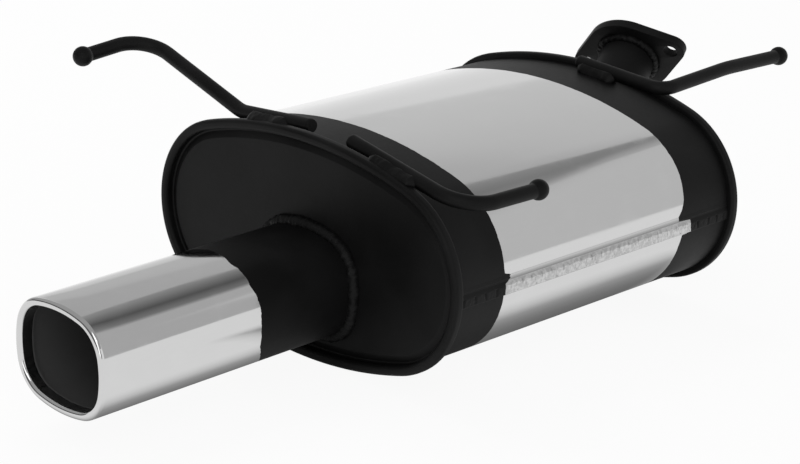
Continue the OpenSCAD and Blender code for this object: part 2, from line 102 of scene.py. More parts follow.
class Wire:
    """A socket that carries numbers, with the operators that are used here."""

    def __init__(self, owner, socket):
        self.owner, self.socket = owner, socket

    def _math(self, op, *values):
        return self.owner.add("ShaderNodeMath", {"operation": op}, dict(enumerate(values)))

    def __add__(self, b): return self._math("ADD", self, b)
    def __sub__(self, b): return self._math("SUBTRACT", self, b)
    def __mul__(self, b): return self._math("MULTIPLY", self, b)
    def __truediv__(self, b): return self._math("DIVIDE", self, b)
    def __rsub__(self, b): return self._math("SUBTRACT", b, self)
    def __gt__(self, b): return self._math("GREATER_THAN", self, b)
    def __lt__(self, b): return self._math("LESS_THAN", self, b)
    __radd__ = __add__
    __rmul__ = __mul__

    def step(self, low, high):
        """0 below low, 1 above high, smooth between."""
        return self.owner.add("ShaderNodeMapRange", {"interpolation_type": "SMOOTHSTEP"},
                              {"Value": self, "From Min": low, "From Max": high})

    def either(self, b): return self._math("MAXIMUM", self, b)
    def both(self, b): return self._math("MINIMUM", self, b)
    def blend(self, b, soft): return self._math("SMOOTH_MAX", self, b, soft)
    def size(self): return self._math("ABSOLUTE", self)
    def sin(self): return self._math("SINE", self)
    def cos(self): return self._math("COSINE", self)
    def root(self): return self._math("SQRT", self)
    def power(self, b): return self._math("POWER", self, b)


class Tree:
    """A node tree under construction."""

    def __init__(self, tree):
        self.tree = tree

    def add(self, kind, settings=None, values=None, out=0):
        """One node: its settings first, a curve's points among them, then values or links."""
        node = self.tree.nodes.new(kind)
        for key, value in (settings or {}).items():
            if key == "points":
                curve = node.mapping.curves[0]
                while len(curve.points) < len(value):
                    curve.points.new(0.5, 0.5)
                for point, at in zip(curve.points, value):
                    point.location = at
                    point.handle_type = "VECTOR"
                node.mapping.update()
            else:
                setattr(node, key, value)
        for key, value in (values or {}).items():
            self.feed(node.inputs[key], value)
        return Wire(self, node.outputs[out])

    def feed(self, socket, value):
        if isinstance(value, Wire):
            self.tree.links.new(value.socket, socket)
        else:
            socket.default_value = value

    def split(self, vector):
        node = self.add("ShaderNodeSeparateXYZ", {}, {"Vector": vector}).socket.node
        return [Wire(self, node.outputs[i]) for i in range(3)]

    def table(self, value, rows, low, high):
        """Straight lines between rows of (place, reading); readings lie between low and high."""
        first, span = rows[0][0], rows[-1][0] - rows[0][0]
        points = [((at - first) / span, (reading - low) / (high - low)) for at, reading in rows]
        curve = self.add("ShaderNodeFloatCurve", {"points": points},
                         {"Value": (value - first) / span})
        return curve * (high - low) + low


print("node helpers ready")

# %% [markdown]
# ## A finish
# `Finish` is a Tree on a material. It reads Object coordinates, so a pattern stays on the metal
# from every side, and it turns them into bench millimetres where an edge has a measured place.

# %% Finish


class Finish(Tree):
    """A procedural material under construction."""

    def __init__(self, name, **shader):
        self.material = bpy.data.materials.new(name)
        self.material.use_nodes = True
        super().__init__(self.material.node_tree)
        self.shader = self.tree.nodes["Principled BSDF"]
        self.place = self.add("ShaderNodeTexCoord", {}, {}, "Object")
        for key, value in shader.items():
            self.put(key, value)

    def put(self, socket, value):
        self.feed(self.shader.inputs[socket.replace("_", " ")], value)

    def noise(self, scale, detail=2.0, stretch=None, rough=0.5):
        """Cloudy noise from 0 to 1: scale is features a metre, stretch pulls it along an axis."""
        where = self.place
        if stretch:
            where = self.add("ShaderNodeMapping", {}, {"Vector": where, "Scale": stretch})
        return self.add("ShaderNodeTexNoise", {}, {"Vector": where, "Scale": scale,
                                                   "Detail": detail, "Roughness": rough}, "Fac")

    def axes(self):
        """Bench X, Y and Z in millimetres."""
        return [w * 1000.0 + float(FLANGE[i]) for i, w in enumerate(self.split(self.place))]

    def mix(self, mask, a, b):
        """Colour a where the mask is 0 and b where it is 1."""
        return self.add("ShaderNodeMix", {"data_type": "RGBA"}, {0: mask, 6: a, 7: b}, 2)

    def bump(self, height, strength, distance=0.001):
        self.put("Normal", self.add("ShaderNodeBump", {}, {"Height": height, "Strength": strength,
                                                           "Distance": distance}, "Normal"))


def grey(v, tint=(1.0, 1.0, 1.0)):
    """A grey colour, or one a little off grey."""
    return tuple(v * t for t in tint) + (1.0,)


print("finish helper ready")

# %% [markdown]
# ## Satin black paint
# Silencers get one coat of heat-proof black. It is thin and matt, so it mirrors little, with dust
# specks and faint clouds. Its low gloss is a constant on the shader, and only colour, roughness and
# bump vary, as an exporter can bake those.

# %% Black paint
PAINT = dict(dark=0.0030, pale=0.0068, gloss=0.13)


def paint_parts(f):
    """Colour, roughness and height of the black paint on finish f."""
    f.put("Specular_IOR_Level", PAINT["gloss"])
    cloud = f.noise(14, 4)
    fine = f.noise(260, 3)
    pale = grey(PAINT["pale"], (1.0, 1.0, 1.02))
    colour = f.mix(cloud.step(0.35, 0.7), grey(PAINT["dark"]), pale)
    specks = f.noise(700, 2).step(0.72, 0.80)
    colour = f.mix(specks * 0.5, colour, grey(0.03))
    rough = 0.42 + cloud * 0.12 + fine * 0.08
    height = fine * 0.6 + f.noise(900, 2) * 0.4
    return colour, rough, height


black = Finish("satin_black_paint", Metallic=0.0)
colour, rough, height = paint_parts(black)
black.put("Base Color", colour)
black.put("Roughness", rough)
black.bump(height, 0.18, 0.0004)
print("paint from", PAINT)

# %% [markdown]
# ## Bright steel
# Polished stainless is nearly a mirror. It reads as steel through faint lines along the way it was
# rolled, broad clouds and a few smudges. A noise that is pulled out along Y draws the lines.

# %% Steel


def steel_parts(f, along=(1.0, 0.02, 1.0)):
    """Colour, roughness and height of drawn steel; the lines run along Y."""
    lines = f.noise(900, 3, along)
    broad = f.noise(9, 2, (1.0, 0.15, 1.0))
    smudge = f.noise(38, 5, None, 0.6).step(0.45, 0.75)
    colour = f.mix(lines * 0.25 + broad * 0.35 + smudge * 0.2, grey(0.60), grey(0.67))
    rough = 0.055 + lines * 0.04 + smudge * 0.07
    return colour, rough, lines


print("steel helper ready")

# %% [markdown]
# ## Bright shell with painted ends
# The shell is bare rolled stainless between two painted bands. Paint and steel are one surface, so
# one finish holds both and a mask in bench Y picks between them. The mask wanders a little, and it
# creeps along the seam, where the paint gun's mask stood off the fold.

# %% Where the paint lies
FRONT_EDGE, REAR_EDGE = 60.2, 286.0  # along the body
REAR_BY_HEIGHT = ((-50, 280), (-20, 280.5), (-9.8, 281.5), (-9.2, 290.5), (2.4, 290), (3.6, 275),
                  (7, 274), (12, 279), (20, 283), (40, 286), (50, 286))  # rear edge near the seam
shell_look = Finish("shell_steel_and_paint")
x, y, z = shell_look.axes()
wander = (shell_look.noise(160, 3) - 0.5) * 1.6
ragged = (shell_look.noise(520, 3) - 0.5) * 5.0
creep = (z - 5.0).size().step(4.5, 2.0).both(x > 0.0)  # the band above the fold
front = (y - wander - creep * (5.5 + ragged)) < FRONT_EDGE
rear_edge = shell_look.table(z, REAR_BY_HEIGHT, 270, 295)
rear_edge = rear_edge + (x < 0.0) * (REAR_EDGE - rear_edge)  # the far side has no seam
rear = (y + wander + creep * ragged * 0.4) > rear_edge
painted = front.either(rear)
print("bare steel from", FRONT_EDGE, "to", REAR_EDGE, "mm")

# %% [markdown]
# ## Dirt and painted shade on the seam
# The toothed rolls that press the seam shut leave it duller than the sheet, in a mottled grey. The
# dark stroke at each tooth is painted shade of the tooth's dent, and the dark line along the valley
# above the fold is painted shade as well. Each mask is held to the fold's heights on the +X side.
# The steel's colour is darkened before the paint goes over it.

# %% Seam dirt, painted shade and the shell's finish
TOOTH = 12.0  # from one tooth's stroke to the next
seam_side = x > 150.0
steel_colour, steel_rough, steel_height = steel_parts(shell_look)
paint_colour, paint_rough, paint_height = paint_parts(shell_look)
on_seam = (z + 2.9).size().step(6.0, 5.4).both(seam_side)
# painted shade: a dark stroke at each tooth stands in for the shade in its dent
painted_tooth_shade = (y * math.pi / TOOTH + (shell_look.noise(30, 1) - 0.5) * 2.4).sin().size().power(60.0)
painted_tooth_shade = painted_tooth_shade * (z + 1.4).size().step(2.8, 2.0) * shell_look.noise(90, 2).step(0.3, 0.6)
mottle = shell_look.noise(300, 3).step(0.35, 0.65)
# the seam's own dullness and mottle, plus the painted shade at the teeth
seam_dullness_and_tooth_shade = on_seam * (0.10 + mottle * 0.26 + painted_tooth_shade * 0.3)
# painted shade: a dark line along the valley above the fold
painted_valley_shade = z.step(2.3, 2.9) * (1.0 - z.step(3.0, 8.5)) * seam_side
steel_colour = shell_look.mix(seam_dullness_and_tooth_shade, steel_colour, grey(0.10))
steel_colour = shell_look.mix(painted_valley_shade * 0.85, steel_colour, grey(0.20))
shell_look.put("Base Color", shell_look.mix(painted, steel_colour, paint_colour))
shell_look.put("Metallic", 1.0 - painted)
shell_look.put("Roughness", steel_rough + painted * (paint_rough - steel_rough))
shell_look.bump(steel_height * 0.12 + painted * (0.5 + paint_height * 0.5), 0.12, 0.0003)
print("a stroke every", TOOTH, "mm along the seam")

# %% [markdown]
# ## Tailpipe finish
# The outer half of the tailpipe is polished and the rest was sprayed with the silencer, with an
# uneven edge where the masking tape went round the corners. A table holds that edge: it takes the
# angle round the pipe and gives the distance from the cap. Behind its lip the pipe was never
# polished, so a superellipse that fits the rounded square keeps the dull grey inside.

# %% Tailpipe finish
TIP_AT, DROOP = (6.0, -27.0), 0.01484  # the middle at the cap, and its fall for each mm forward
HALF_WIDTH, HALF_HEIGHT, SQUARENESS = 52.3, 43.5, 2.6  # the superellipse
SOOT, LIP_AT = 0.085, -233.5  # grey of the inside, and where it begins behind the lip
# angle round the pipe in degrees, and the tape's edge past the cap
TAPE = ((-180, 88), (-120, 78), (-61, 74), (-21, 91.4), (-6, 92.2), (12, 92.2), (25, 93.5),
        (37, 96), (50, 93.9), (68, 94.3), (83, 90.1), (109, 88.4), (127, 92.6), (135, 108),
        (150, 100), (180, 88))
tip_look = Finish("tailpipe_steel_and_paint")
x, y, z = tip_look.axes()
x, z = x - TIP_AT[0], z - TIP_AT[1] - y * DROOP
angle = tip_look.add("ShaderNodeMath", {"operation": "ARCTAN2"}, {0: z, 1: x})
tape = tip_look.table(angle * (180 / math.pi), TAPE, 0, 150)
sprayed = (y * -1.0 + (tip_look.noise(120, 4) - 0.5) * 5.0) < tape
across, upward = x.size() / HALF_WIDTH, z.size() / HALF_HEIGHT
within = (across.power(SQUARENESS) + upward.power(SQUARENESS)) < 0.95
within = within.both(y > LIP_AT)
dull = sprayed.either(within)
steel_colour, steel_rough, steel_height = steel_parts(tip_look, (1.0, 0.06, 1.0))
paint_colour, paint_rough, paint_height = paint_parts(tip_look)
outside = tip_look.mix(sprayed, steel_colour, paint_colour)
tip_look.put("Base Color", tip_look.mix(within, outside, grey(SOOT)))
tip_look.put("Metallic", 1.0 - dull)
tip_look.put("Roughness", steel_rough + dull * (paint_rough - steel_rough))
tip_look.bump(steel_height * 0.12 + sprayed * (0.5 + paint_height * 0.5), 0.12, 0.0003)
print("tape edge from", min(d for _, d in TAPE), "to", max(d for _, d in TAPE), "mm past the cap")

# %% [markdown]
# ## The finishes inside
# The tubes and baffles are plain aluminised sheet, wrapped in steel wool and packed with glass
# fibre. They are hidden, yet they are finished too.

# %% Inner finishes
inner_steel = Finish("inner_aluminised_sheet", Metallic=1.0)
spangle = inner_steel.add("ShaderNodeTexVoronoi", {},
                          {"Vector": inner_steel.place, "Scale": 160.0}, "Distance")
inner_steel.put("Base Color", inner_steel.mix(spangle, grey(0.30), grey(0.46)))
inner_steel.put("Roughness", 0.42 + spangle * 0.2)
wool = Finish("steel_wool", Metallic=1.0)
strands = wool.noise(420, 6, (1.0, 0.2, 1.0))
wool.put("Base Color", wool.mix(strands, grey(0.16), grey(0.5)))
wool.put("Roughness", 0.5 + strands * 0.3)
wool.bump(strands, 0.9, 0.002)
packing = Finish("glass_packing", Roughness=0.95)
fibres = packing.noise(300, 6, (1.0, 0.3, 1.0))
packing.put("Base Color", packing.mix(fibres, (0.62, 0.56, 0.38, 1), (0.86, 0.82, 0.66, 1)))
packing.bump(fibres, 0.8, 0.003)

LOOKS = {"outer_shell": shell_look, "tailpipe": tip_look,
         "steel_wool_wraps": wool, "sound_packing": packing}
for name in ("outlet_adapter", "outlet_core_tube", "inlet_core_tube",
             "front_baffle", "rear_baffle"):
    LOOKS[name] = inner_steel
for name, o in nodes.items():
    o.data.materials.clear()
    o.data.materials.append(LOOKS.get(name, black).material)
print(len(nodes), "nodes finished")

# %% [markdown]
# ## Ovals made of arcs
# A silencer's oval is four arcs that meet without a corner, and the tailpipe's rounded square is
# eight. A ring of arcs gives every point a centre, a radius and a direction, so any pressed profile
# can follow it: a point of the profile is just that much further out along its direction.

# %% Rings
BODY_LEN, CAP_T, SHELL_T = 350.0, 1.5, 1.2
SIDE_C, SIDE_R = 92.3, 74.4  # the side arcs' centres, out from the middle, and their radius
TOP_C, TOP_R = 299.49928, 387.79928  # the same for the flat arcs, below and above


def ring(arcs, step):
    """Centres, radii and directions round a closed chain of arcs (cx, cz, radius, from, to)."""
    rows = []
    for cx, cz, r, a, b in arcs:
        n = max(2, round(abs(b - a) * r / step / 57.3))
        for t in np.radians(np.linspace(a, b, n, endpoint=False)):
            rows.append((cx, cz, r, math.cos(t), math.sin(t)))
    rows = np.array(rows)
    return rows[:, :2], rows[:, 2], rows[:, 3:]


split = math.degrees(math.atan2(TOP_C, SIDE_C))  # where a side arc meets the top arc
OVAL = ring([(SIDE_C, 0, SIDE_R, -split, split),
             (0, -TOP_C, TOP_R, split, 180 - split),
             (-SIDE_C, 0, SIDE_R, 180 - split, 180 + split),
             (0, TOP_C, TOP_R, 180 + split, 360 - split)], 3.2)


def rounded_square(w, h, corner, side_bow, top_bow):
    """The arcs of a rounded square whose sides bow out."""
    cx, cz = w / 2 - corner - side_bow, h / 2 - corner - top_bow
    side_r = ((corner + side_bow) ** 2 + cz * cz - corner * corner) / (2 * side_bow)
    top_r = ((corner + top_bow) ** 2 + cx * cx - corner * corner) / (2 * top_bow)
    s = math.degrees(math.atan2(cz, cx - w / 2 + side_r))
    t = math.degrees(math.atan2(cz - h / 2 + top_r, cx))
    arcs = []
    for flip, k in ((0, 1), (180, -1)):
        arcs += [(k * (w / 2 - side_r), 0, side_r, flip - s, flip + s),
                 (k * cx, k * cz, corner, flip + s, flip + t),
                 (0, k * (h / 2 - top_r), top_r, flip + t, flip + 180 - t),
                 (-k * cx, k * cz, corner, flip + 180 - t, flip + 180 - s)]
    return arcs


TIP = ring(rounded_square(w=104.6, h=87.0, corner=33.0, side_bow=0.8, top_bow=2.0), 2.6)
print(len(OVAL[1]), "stations round the body,", len(TIP[1]), "round the tailpipe")

# %% [markdown]
# ## Sheet swept round a ring
# Pressed sheet is one profile carried round the ring. `sweep` makes that grid of points, `skin`
# turns grids and strips of points into one closed mesh, and `keep` seats the piece on the frame.
# Mesh code is chosen here because both ends of each strip must close on a flat face with a hole.

# %% Sweep, skin and keep
TIP_ROOT = 1.5  # the tailpipe's length is measured from here


def sweep(path, profile):
    """Places (station, profile point, 3): across, up, along the axis."""
    centre, radius, way = path
    profile = np.asarray(profile, float)
    flat = centre[:, None] + (radius[:, None] + profile[None, :, 0])[..., None] * way[:, None]
    along = np.broadcast_to(profile[None, :, 1], flat.shape[:2])
    return np.concatenate([flat, along[..., None]], 2)


def facing_front(p):
    """Across, up and forward become bench X, Z and -Y."""
    return np.stack([p[..., 0], -p[..., 2], p[..., 1]], -1)


def on_tailpipe(p):
    """The tailpipe's own frame as bench places: it droops 0.85 and rolls 0.7 degrees."""
    droop = Matrix.Rotation(math.radians(90.85), 4, "X")
    roll = Matrix.Rotation(math.radians(-0.7), 4, "Z")
    move = np.array(Matrix.Translation((TIP_AT[0], TIP_ROOT, TIP_AT[1])) @ droop @ roll)
    return p @ move[:3, :3].T + move[:3, 3]


def skin(grids):
    """A mesh from grids (stations, points, 3), closed round their stations, doubles merged."""
    bm = bmesh.new()
    for g in grids:
        loops = [[bm.verts.new(mm(*p)) for p in row] for row in g]
        for i, a in enumerate(loops):
            b = loops[(i + 1) % len(loops)]
            for j in range(len(a) - 1):
                bm.faces.new((a[j], b[j], b[j + 1], a[j + 1]))
    bmesh.ops.remove_doubles(bm, verts=bm.verts, dist=1e-6)
    return bm


def keep(name, source, look, slot, *replaced, sharp=32):
    """Makes a piece of a bmesh or a mesh, smooth but for sharp corners, on the frame's one body."""
    if isinstance(source, bmesh.types.BMesh):
        bmesh.ops.recalc_face_normals(source, faces=source.faces)
        mesh = bpy.data.meshes.new(name)
        source.to_mesh(mesh)
        source.free()
    else:
        mesh = source
        mesh.name = name
    mesh.materials.clear()
    mesh.materials.append(look.material)
    mesh.shade_smooth()
    mesh.set_sharp_from_angle(angle=math.radians(sharp))
    piece = bpy.data.objects.new(name, mesh)
    bpy.context.scene.collection.objects.link(piece)
    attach(piece, "root")
    if replaced:
        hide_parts(*replaced)
    print(name, len(mesh.polygons), "faces")
    return piece


def arc(cx, cy, r, a, b, n):
    """n steps of an arc from a to b degrees."""
    t = np.radians(np.linspace(a, b, n + 1))
    return [(cx + r * math.cos(k), cy + r * math.sin(k)) for k in t]


print("sheet helpers ready")

# %% [markdown]
# ## Shell
# One sheet is wrapped round the body and its ends are hooked into the rims. The profile runs from
# one hook to the other outside, and back again inside.

# %% Shell
RIM_H, RIM_W = 5.7, 9.0  # how far a rim stands out, and its width
hook, hook_end, far = RIM_H - CAP_T, CAP_T + 1.5 - RIM_W, -BODY_LEN
inner = hook - SHELL_T, -CAP_T - SHELL_T
cut_in, cut_out = 0.7, 0.8  # the hook's broken corners
end = [(-SHELL_T, -CAP_T - cut_in), (-SHELL_T + cut_in, -CAP_T), (hook - cut_out, -CAP_T),
       (hook, -CAP_T - cut_out), (hook, hook_end), (inner[0], hook_end), inner, (0, inner[1])]
other = [(a, far - b) for a, b in reversed(end)]
straight = [(0, b) for b in np.linspace(-30, far + 30, 9)]
loop = end + straight + other
shell = facing_front(sweep(OVAL, loop + loop[:1]))
keep("shell_sheet", skin([shell]), shell_look, "polished_steel", "outer_shell")

# %% [markdown]
# ## Caps
# Each cap is a pressing: a rolled rim that locks the shell, a groove inside it and a raised flat
# middle with a hole for its pipe. The rim's profile is swept, then the middle is stretched between
# the sweep's last ring and the hole, front and back, so the sheet stays closed.

# %% Caps
DISH, GROOVE = 5.0, 7.6  # how far the middle and the groove's floor lie behind the rim's face
SPIGOT = -SHELL_T - CAP_T  # the pressed wall that fits inside the shell
EDGE_AT, FLANK = -10.5, 25  # where the flat middle ends, from the shell's outline, and its slope
EDGE_R, FLOOR_R = 1.8, 1.5  # outside radii of the middle's edge and of the groove's floor
RIM_IN, RIM_OUT, RIM_BACK = 3.4, 3.3, 2.8  # outside radii of the rim


def rim_arcs(t, fine):
    """The profile at a depth t in the sheet, from the flat middle out to the back of the rim."""
    return (arc(EDGE_AT, -DISH - EDGE_R, EDGE_R - t, 90, 90 - FLANK, fine[0])
            + arc(SPIGOT - FLOOR_R, FLOOR_R - GROOVE, FLOOR_R + t, 270 - FLANK, 360, fine[1])
            + arc(SPIGOT + RIM_IN, -RIM_IN, RIM_IN - t, 180, 90, fine[2])
            + arc(RIM_H - RIM_OUT, -RIM_OUT, RIM_OUT - t, 90, 0, fine[3])
            + arc(RIM_H - RIM_BACK, RIM_BACK - RIM_W, RIM_BACK - t, 0, -90, fine[4]))


OUTSIDE = [(EDGE_AT - 4, -DISH)] + rim_arcs(0, (6, 10, 9, 9, 8)) + [(0, -RIM_W)]
INSIDE = [(EDGE_AT - 4, -DISH - CAP_T)] + rim_arcs(CAP_T, (2, 10, 6, 6, 6)) + [(0, CAP_T - RIM_W)]


def outline_towards(outline, centre, places):
    """Points of a closed outline in the same directions from the centre as the places."""
    rel = np.asarray(outline) - centre
    a, r = np.arctan2(rel[:, 1], rel[:, 0]), np.hypot(rel[:, 0], rel[:, 1])
    order = np.argsort(a)
    d = places - centre
    t = np.arctan2(d[:, 1], d[:, 0])
    reach = np.interp(t, a[order], r[order], period=2 * math.pi)
    return centre + reach[:, None] * np.stack([np.cos(t), np.sin(t)], -1)


def cap(name, node, hole, centre, rear):
    """A pressed cap with a hole outline, drawn for the front and turned round for the rear."""
    rim = sweep(OVAL, OUTSIDE + INSIDE[::-1])
    grids = [rim]
    edges = []
    for row, depth in ((0, -DISH), (-1, -DISH - CAP_T)):
        last = rim[:, row, :2]
        inwards = outline_towards(hole, centre, last) - last
        lines = [np.pad(last + inwards * k, ((0, 0), (0, 1)), constant_values=depth)
                 for k in np.linspace(0, 1, 5)]
        grids.append(np.stack(lines, 1))
        edges.append(grids[-1][:, -1])
    grids.append(np.stack(edges, 1))
    places = [facing_front(g) for g in grids]
    if rear:
        places = [p * [1, -1, 1] + [0, BODY_LEN, 0] for p in places]
    return keep(name, skin(places), black, "black_paint", node)


PIPE_AT, PIPE_R = np.array((-4.1, 42.3)), 25
turns = np.linspace(0, 2 * math.pi, 96, endpoint=False)
tip_hole = TIP[0] + (TIP[1] - 0.2)[:, None] * TIP[2] + TIP_AT
pipe_hole = PIPE_AT + PIPE_R * np.stack([np.cos(turns), np.sin(turns)], -1)
cap("front_cap", "front_end_cap", tip_hole, np.array(TIP_AT), rear=False)
cap("rear_cap", "rear_end_cap", pipe_hole, PIPE_AT, rear=True)

# %% [markdown]
# ## Tailpipe
# A rounded-square tube whose mouth is rolled inwards, so a hand never meets a raw edge. Its wall is
# one profile again, swept round the eight arcs.

# %% Tailpipe
REACH, LIP, TIP_T, EDGE = 246.2, 7.0, 2.0, 3.3  # length, mouth's lip, sheet and its rolled edge
BURIED, LIP_BACK = -12, REACH - EDGE - 9  # inside the cap, and where the lip's sheet ends
long_way = np.linspace(20, 220, 6)
wall_profile = ([(0, BURIED)] + [(0, v) for v in long_way]
                + arc(-EDGE, REACH - EDGE, EDGE, 0, 90, 9)
                + arc(EDGE - LIP, REACH - EDGE, EDGE, 90, 180, 9)
                + [(-LIP, LIP_BACK), (TIP_T - LIP, LIP_BACK)]
                + arc(EDGE - LIP, REACH - EDGE, EDGE - TIP_T, 180, 90, 3)
                + arc(-EDGE, REACH - EDGE, EDGE - TIP_T, 90, 0, 3)
                + [(-TIP_T, v) for v in long_way[::-1]] + [(-TIP_T, BURIED)])
tip = on_tailpipe(sweep(TIP, wall_profile + wall_profile[:1]))
keep("tailpipe_skin", skin([tip]), tip_look, "polished_steel", "tailpipe")

# %% [markdown]
# ## A rule for a shape
# `Rule` is a Tree on a Geometry Nodes group with named inputs. `grow` runs it on a path of points,
# turns the result into a plain mesh and removes the modifier, so the export meets a finished piece.

# %% Rule


class Rule(Tree):
    """A Geometry Nodes tree under construction."""

    def __init__(self, name):
        super().__init__(bpy.data.node_groups.new(name, "GeometryNodeTree"))
        self.keys = {}
        self.tree.interface.new_socket(name="Geometry", in_out="OUTPUT",
                                       socket_type="NodeSocketGeometry")
        self.start = self.tree.nodes.new("NodeGroupInput")
        self.path = self.input("Path", "Geometry")

    def input(self, name, kind="Float"):
        socket = self.tree.interface.new_socket(name=name, in_out="INPUT",
                                                socket_type="NodeSocket" + kind)
        self.keys[name] = socket.identifier
        return Wire(self, self.start.outputs[name])

    def done(self, geometry, finish):
        """Ends the tree: realised and finished."""
        real = self.add("GeometryNodeRealizeInstances", {}, {"Geometry": geometry})
        last = self.add("GeometryNodeSetMaterial", {}, {"Geometry": real, "Material": finish})
        self.tree.links.new(last.socket, self.tree.nodes.new("NodeGroupOutput").inputs["Geometry"])

    def grow(self, points, look, closed=False, numbers=None, **sizes):
        """The tree's mesh on a path of bench places."""
        mesh = bpy.data.meshes.new("path")
        n = len(points)
        edges = [(i, (i + 1) % n) for i in range(n if closed else n - 1)]
        mesh.from_pydata([mm(*p) for p in points], edges, [])
        for key, values in (numbers or {}).items():
            mesh.attributes.new(key, "FLOAT", "POINT").data.foreach_set("value", values)
        o = bpy.data.objects.new("path", mesh)
        bpy.context.scene.collection.objects.link(o)
        rule = o.modifiers.new("rule", "NODES")
        rule.node_group = self.tree
        rule[self.keys["Finish"]] = look.material
        for key, value in sizes.items():
            rule[self.keys[key.replace("_", " ")]] = value
        graph = bpy.context.evaluated_depsgraph_get()
        made = bpy.data.meshes.new_from_object(o.evaluated_get(graph))
        o.modifiers.remove(rule)
        bpy.data.objects.remove(o)
        return made


print("rule helper ready")

# %% [markdown]
# ## Hanger rods
# A hanger is round bar, bent cold round a former and hit on its end so that the rubber mount can't
# slip off. The rule fillets a path of corners, then carries a circle along it. The circle's radius
# is the rod's until the last few millimetres, where it follows a ball, softened where the two meet.

# %% The rule for a bent rod
rod_rule = Rule("bent_rod")
finish = rod_rule.input("Finish", "Material")
rod_r, head_r, head_back = (rod_rule.input(n) for n in ("Rod radius", "Head radius", "Head back"))
bend = rod_rule.add("GeometryNodeInputNamedAttribute", {"data_type": "FLOAT"}, {"Name": "bend"})
line = rod_rule.add("GeometryNodeMeshToCurve", {}, {"Mesh": rod_rule.path})
line = rod_rule.add("GeometryNodeFilletCurve", {"mode": "POLY"},
                    {"Curve": line, "Count": 40, "Radius": bend})
line = rod_rule.add("GeometryNodeResampleCurve", {"mode": "LENGTH"},
                    {"Curve": line, "Length": 0.0009})
run = rod_rule.add("GeometryNodeSplineParameter", {}, {}, "Length")
whole = rod_rule.add("GeometryNodeSplineLength", {}, {}, "Length")
past = run - whole + head_r  # from the ball's middle
ball = (head_r * head_r - past * past).either(1e-7).root()
ball = ball * past.step(head_back * -1.0 - 0.0012, head_back * -1.0 + 0.0004)
chamfer = 0.86 + (run * 90.0).both(0.14)
radius = (rod_r * chamfer * (past < 0.004)).blend(ball, 0.0009)
circle = rod_rule.add("GeometryNodeCurvePrimitiveCircle", {}, {"Resolution": 36, "Radius": 1.0})
bar = rod_rule.add("GeometryNodeCurveToMesh", {}, {"Curve": line, "Profile Curve": circle,
                                                   "Scale": radius, "Fill Caps": True})
rod_rule.done(bar, finish)
print("inputs", list(rod_rule.keys))

# %% Rods
ROD_R, HEAD_R, HEAD_BACK = 6.0, 8.4, 5.5
FRONT_Y, REAR_Y = 15, 335  # where the rods lie along the body


def top_point(lean, s, y):
    """A place on a rod that touches the oval's top at a lean, s along it from the touch."""
    t, r = math.radians(lean), TOP_R + ROD_R
    return (r * math.sin(t) + s * math.cos(t), y, r * math.cos(t) - TOP_C - s * math.sin(t))


corner = top_point(3.4, 70, REAR_Y)
RODS = {  # the corners of each rod's path, then its bending radii
    "front_left": ([top_point(-5, 31, FRONT_Y), top_point(-5, -52.5, FRONT_Y),
                    (-209, FRONT_Y, 125.8), (-209, -51.5, 119.5)], [30, 30]),
    "front_right": ([top_point(10.9, -35, FRONT_Y), top_point(10.9, 91.6, FRONT_Y),
                     (164.5, 96, 68.7)], [32]),
    "rear": ([top_point(3.4, -24, REAR_Y), corner, (corner[0], 424.7, 94.2),
              (corner[0], 502.8, 92.2)], [15, 250])}
for side, (points, bends) in RODS.items():
    points = [np.array(p, float) for p in points]
    way = points[-1] - points[-2]
    points[-1] = points[-1] + way / np.linalg.norm(way) * HEAD_R
    radii = {"bend": [0.0] + [b / 1000 for b in bends] + [0.0]}
    rod = rod_rule.grow(points, black, numbers=radii, Rod_radius=ROD_R / 1000,
                        Head_radius=HEAD_R / 1000, Head_back=HEAD_BACK / 1000)
    bar = keep("rod_" + side, rod, black, "black_paint", "hanger_" + side, sharp=50)
    bar.visible_glossy = False  # the real metal's images of the rods are too faint to see
print(len(RODS), "rods bent")

# %% [markdown]
# ## Weld beads
# A hand-held torch leaves a rope of overlapping puddles. The rule carries a circle along the joint
# and swells it once for every puddle, with slower noise for the welder's hand. The path runs just
# inside the corner, so only the outer side of the rope shows, as on real metal.

# %% The rule for a bead
bead_rule = Rule("weld_bead")
finish = bead_rule.input("Finish", "Material")
bead_r, pitch, ripple, lumps, seed = (bead_rule.input(n) for n in (
    "Bead radius", "Puddle pitch", "Ripple", "Lumps", "Seed"))
line = bead_rule.add("GeometryNodeMeshToCurve", {}, {"Mesh": bead_rule.path})
line = bead_rule.add("GeometryNodeResampleCurve", {"mode": "LENGTH"},
                     {"Curve": line, "Length": 0.0006})
run = bead_rule.add("GeometryNodeSplineParameter", {}, {}, "Length")
where = bead_rule.add("GeometryNodeInputPosition")
hand, fine = (bead_rule.add("ShaderNodeTexNoise", {"noise_dimensions": "4D"},
                            {"Vector": where, "W": seed, "Scale": scale, "Detail": detail}, "Fac")
              for scale, detail in ((62.0, 2.0), (330.0, 3.0)))
puddle = (run * math.pi / pitch).sin().size().power(0.6)
radius = bead_r * (1.0 + (puddle - 0.6) * ripple + (hand - 0.5) * lumps)
circle = bead_rule.add("GeometryNodeCurvePrimitiveCircle", {}, {"Resolution": 16, "Radius": 1.0})
rope = bead_rule.add("GeometryNodeCurveToMesh", {}, {"Curve": line, "Profile Curve": circle,
                                                     "Scale": radius, "Fill Caps": True})
normal = bead_rule.add("GeometryNodeInputNormal")
push = bead_rule.add("ShaderNodeVectorMath", {"operation": "SCALE"},
                     {0: normal, "Scale": (fine - 0.5) * bead_r * lumps})
rope = bead_rule.add("GeometryNodeSetPosition", {}, {"Geometry": rope, "Offset": push})
bead_rule.done(rope, finish)
print("inputs", list(bead_rule.keys))

# %% Beads


def bead(name, node, path, radius, pitch, ripple, lumps, seed):
    """A closed bead along a path; radius and pitch are in millimetres."""
    rope = bead_rule.grow(path, black, True, Bead_radius=radius / 1000, Puddle_pitch=pitch / 1000,
                          Ripple=ripple, Lumps=lumps, Seed=seed)
    return keep(name, rope, black, "black_paint", node, sharp=60)


